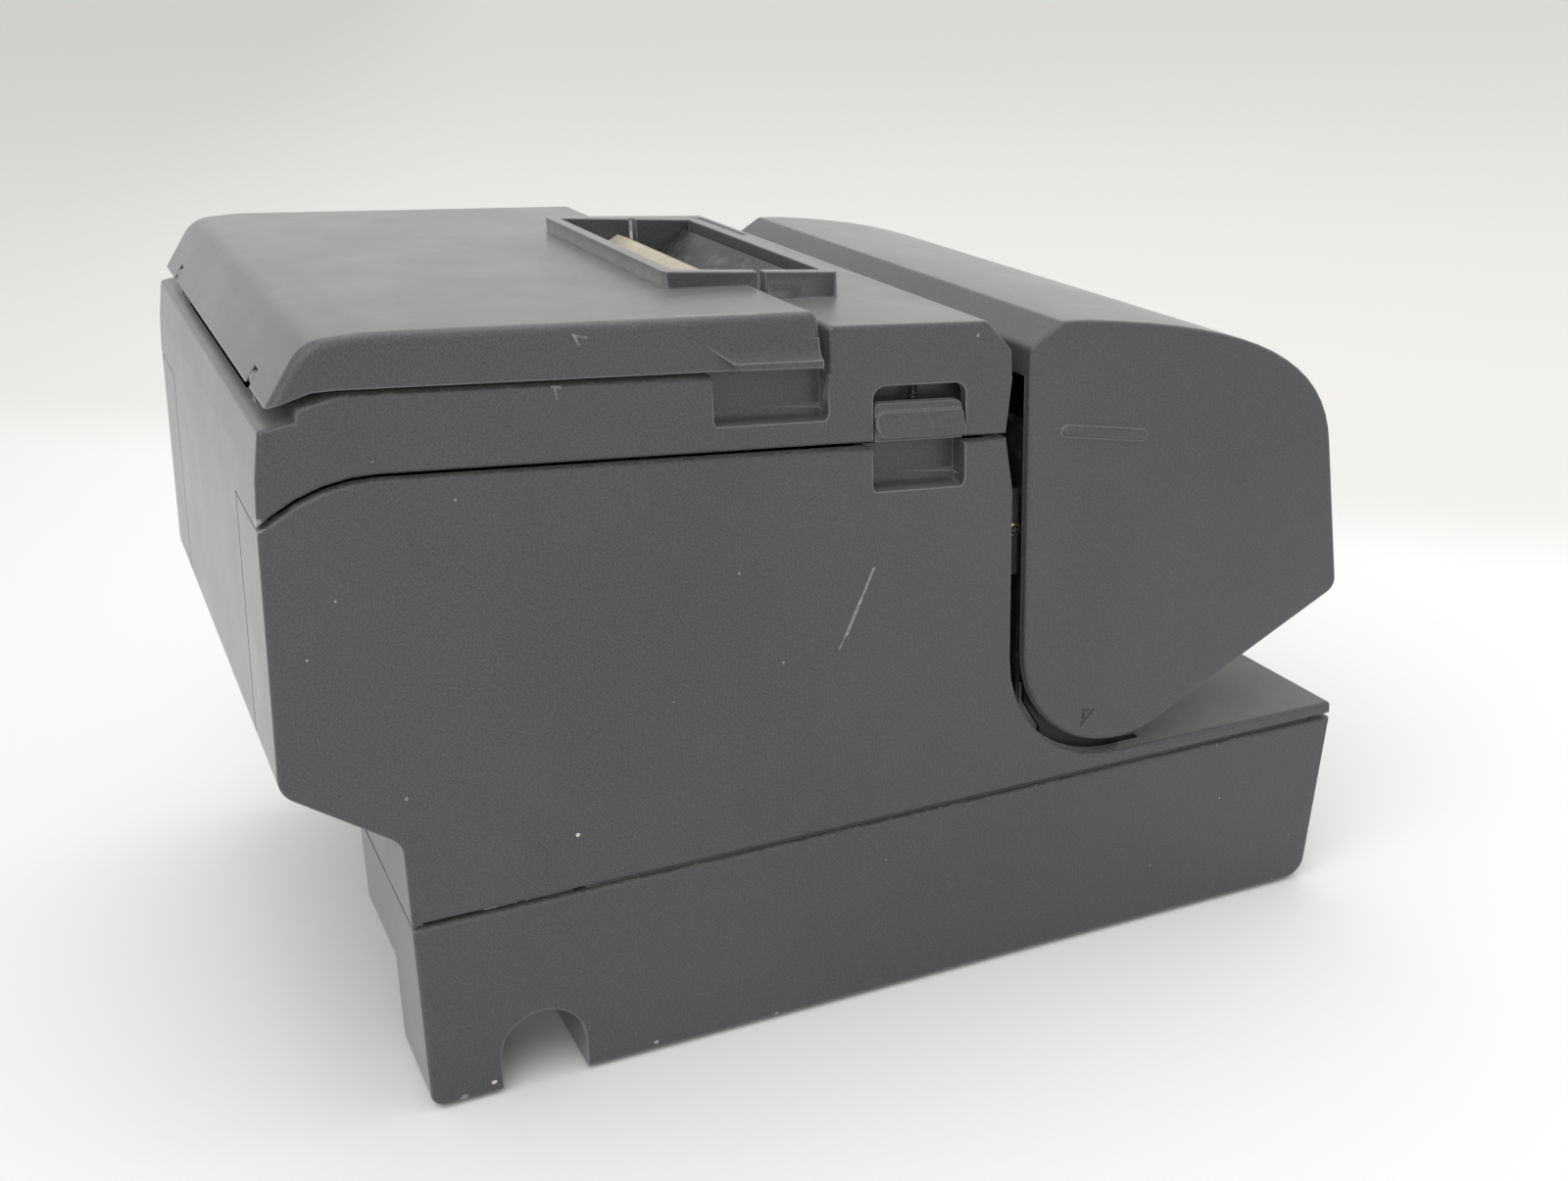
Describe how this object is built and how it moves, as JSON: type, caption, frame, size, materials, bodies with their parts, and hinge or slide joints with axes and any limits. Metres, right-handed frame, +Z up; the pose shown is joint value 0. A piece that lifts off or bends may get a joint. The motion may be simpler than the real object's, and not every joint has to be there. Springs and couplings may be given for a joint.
{
  "type": "receipt printer",
  "caption": "Desktop hybrid receipt and slip printer with a hinged front cover, a tilting receipt unit, a flip-up roll cover and a side latch.",
  "frame": {"origin": "middle of the printer's footprint, on the surface that its feet rest on", "axes": "+X to the operator's right, +Y to the rear, +Z up"},
  "size_m": [0.1908, 0.279, 0.184],
  "materials": {
    "case_plastic": "fine-grained dark neutral grey moulding",
    "inner_plastic": "smooth black inner moulding",
    "feet_rubber": "soft rubber",
    "roller_rubber": "ground roller rubber",
    "plated_steel": "zinc-plated sheet and rod",
    "blade_steel": "ground blade steel",
    "gear_plastic": "natural acetal",
    "pinion_brass": "cut brass",
    "board": "green circuit board",
    "heatsink": "extruded aluminium",
    "cream_plastic": "cream moulding",
    "panel": "dark panel film"
  },
  "bodies": {
    "base": {"bottom_case": "case_plastic", "rubber_feet": "feet_rubber", "base_plate": "plated_steel", "logic_board": "board", "connectors": "plated_steel", "middle_case": "case_plastic", "slip_guide": "case_plastic", "unit_hinge_rod": "plated_steel", "rod_brackets": "plated_steel", "side_frame_left": "plated_steel", "side_frame_right": "plated_steel", "frame_tie_bar": "plated_steel", "front_guide": "inner_plastic", "carriage_rod": "plated_steel", "carriage_rail": "plated_steel", "carriage_motor": "plated_steel", "idler_bracket": "plated_steel", "carriage_belt": "roller_rubber", "ribbon_cassette": "inner_plastic", "slip_platen": "roller_rubber", "slip_motor": "plated_steel", "feed_shaft_plates": "plated_steel", "slip_sensor_bracket": "plated_steel", "case_screws": "plated_steel"},
    "switch": {"power_switch": "inner_plastic"},
    "carriage": {"carriage": "inner_plastic", "print_head": "heatsink"},
    "drive_pulley": {"drive_pulley": "plated_steel"},
    "idler_pulley": {"idler_pulley": "gear_plastic"},
    "ribbon_knob": {"ribbon_knob": "gear_plastic"},
    "lower_feed": {"lower_feed_shaft": "roller_rubber"},
    "upper_feed": {"upper_feed_shaft": "roller_rubber"},
    "idler_gear": {"idler_gear": "gear_plastic"},
    "motor_pinion": {"motor_pinion": "pinion_brass"},
    "lower_pinch": {"lower_pinch_rollers": "roller_rubber"},
    "upper_pinch": {"upper_pinch_rollers": "roller_rubber"},
    "front_cover": {"front_cover": "case_plastic"},
    "receipt_unit": {"unit_case": "case_plastic", "roll_tub": "inner_plastic", "unit_frame": "plated_steel", "thermal_head": "heatsink", "head_springs": "plated_steel", "cutter_body": "plated_steel", "feed_motor": "plated_steel", "paper_guide": "cream_plastic", "panel_plate": "panel", "latch_spring": "plated_steel"},
    "cutter_blade": {"cutter_blade": "blade_steel"},
    "platen_drive": {"platen_drive_gear": "gear_plastic"},
    "unit_latch": {"unit_latch": "case_plastic"},
    "receipt_feed_button": {"receipt_feed_button": "case_plastic"},
    "slip_feed_button": {"slip_feed_button": "case_plastic"},
    "release_button": {"release_button": "case_plastic"},
    "roll_cover": {"roll_cover": "case_plastic", "cover_hinge_pins": "plated_steel", "platen_frame": "plated_steel", "fixed_blade": "blade_steel", "tear_bar": "cream_plastic"},
    "platen": {"platen_roller": "roller_rubber"}
  },
  "joints": [
    {"name": "front_cover_hinge", "type": "hinge", "parent": "base", "child": "front_cover", "pos_m": [0, -0.07, 0.085], "axis": [1, 0, 0], "range_deg": [0, 25]},
    {"name": "receipt_unit_hinge", "type": "hinge", "parent": "base", "child": "receipt_unit", "pos_m": [0, 0.126, 0.102], "axis": [-1, 0, 0], "range_deg": [0, 45]},
    {"name": "roll_cover_hinge", "type": "hinge", "parent": "receipt_unit", "child": "roll_cover", "pos_m": [0, 0.1295, 0.1715], "axis": [-1, 0, 0], "range_deg": [0, 90]},
    {"name": "latch_lift", "type": "slide", "parent": "receipt_unit", "child": "unit_latch", "axis": [0, 0, 1], "range_m": [0, 0.003], "stiffness_N_per_m": 400, "deforming": ["latch_spring"]},
    {"name": "receipt_feed_press", "type": "slide", "parent": "receipt_unit", "child": "receipt_feed_button", "axis": [0, 0.081, -0.9967], "range_m": [0, 0.0008], "stiffness_N_per_m": 600},
    {"name": "slip_feed_press", "type": "slide", "parent": "receipt_unit", "child": "slip_feed_button", "axis": [0, 0.081, -0.9967], "range_m": [0, 0.0008], "stiffness_N_per_m": 600},
    {"name": "release_press", "type": "slide", "parent": "receipt_unit", "child": "release_button", "axis": [0, 0.081, -0.9967], "range_m": [0, 0.0008], "stiffness_N_per_m": 600},
    {"name": "cutter_stroke", "type": "slide", "parent": "receipt_unit", "child": "cutter_blade", "axis": [0, 1, 0], "range_m": [0, 0.007]},
    {"name": "platen_spin", "type": "hinge", "parent": "roll_cover", "child": "platen", "pos_m": [-0.0085, 0.026, 0.15], "axis": [1, 0, 0], "continuous": true},
    {"name": "platen_drive_spin", "type": "hinge", "parent": "receipt_unit", "child": "platen_drive", "pos_m": [0.038, 0.026, 0.12888], "axis": [1, 0, 0], "continuous": true},
    {"name": "carriage_travel", "type": "slide", "parent": "base", "child": "carriage", "axis": [1, 0, 0], "range_m": [-0.05, 0.05]},
    {"name": "drive_pulley_spin", "type": "hinge", "parent": "base", "child": "drive_pulley", "pos_m": [0.07, -0.104, 0.092], "axis": [0, 0, 1], "range_deg": [-375, 375]},
    {"name": "idler_pulley_spin", "type": "hinge", "parent": "base", "child": "idler_pulley", "pos_m": [-0.07, -0.104, 0.092], "axis": [0, 0, 1], "range_deg": [-375, 375]},
    {"name": "ribbon_knob_turn", "type": "hinge", "parent": "base", "child": "ribbon_knob", "pos_m": [-0.054, -0.092, 0.136], "axis": [0, 0, 1], "continuous": true},
    {"name": "lower_feed_spin", "type": "hinge", "parent": "base", "child": "lower_feed", "pos_m": [0, -0.0284, 0.098], "axis": [1, 0, 0], "continuous": true},
    {"name": "upper_feed_spin", "type": "hinge", "parent": "base", "child": "upper_feed", "pos_m": [0, -0.0284, 0.134], "axis": [1, 0, 0], "continuous": true},
    {"name": "idler_gear_spin", "type": "hinge", "parent": "base", "child": "idler_gear", "pos_m": [0.08, -0.01946, 0.116], "axis": [1, 0, 0], "continuous": true},
    {"name": "motor_pinion_spin", "type": "hinge", "parent": "base", "child": "motor_pinion", "pos_m": [0.08, -0.00056, 0.116], "axis": [1, 0, 0], "continuous": true},
    {"name": "lower_pinch_spin", "type": "hinge", "parent": "base", "child": "lower_pinch", "pos_m": [0, -0.0466, 0.098], "axis": [1, 0, 0], "continuous": true},
    {"name": "upper_pinch_spin", "type": "hinge", "parent": "base", "child": "upper_pinch", "pos_m": [0, -0.0466, 0.134], "axis": [1, 0, 0], "continuous": true},
    {"name": "power_rocker", "type": "hinge", "parent": "base", "child": "switch", "pos_m": [0.062, -0.1335, 0.022], "axis": [1, 0, 0], "range_deg": [0, 12]}
  ],
  "couplings": [
    {"joint": "platen_drive_spin", "follows": "platen_spin", "ratio": -0.75},
    {"joint": "drive_pulley_spin", "follows": "carriage_travel", "rad_per_m": -129.03},
    {"joint": "idler_pulley_spin", "follows": "carriage_travel", "rad_per_m": -129.03},
    {"joint": "upper_feed_spin", "follows": "lower_feed_spin", "ratio": 1},
    {"joint": "idler_gear_spin", "follows": "lower_feed_spin", "ratio": -0.42857},
    {"joint": "motor_pinion_spin", "follows": "lower_feed_spin", "ratio": 1.25},
    {"joint": "lower_pinch_spin", "follows": "lower_feed_spin", "ratio": -1.3158},
    {"joint": "upper_pinch_spin", "follows": "lower_feed_spin", "ratio": -1.3158}
  ]
}
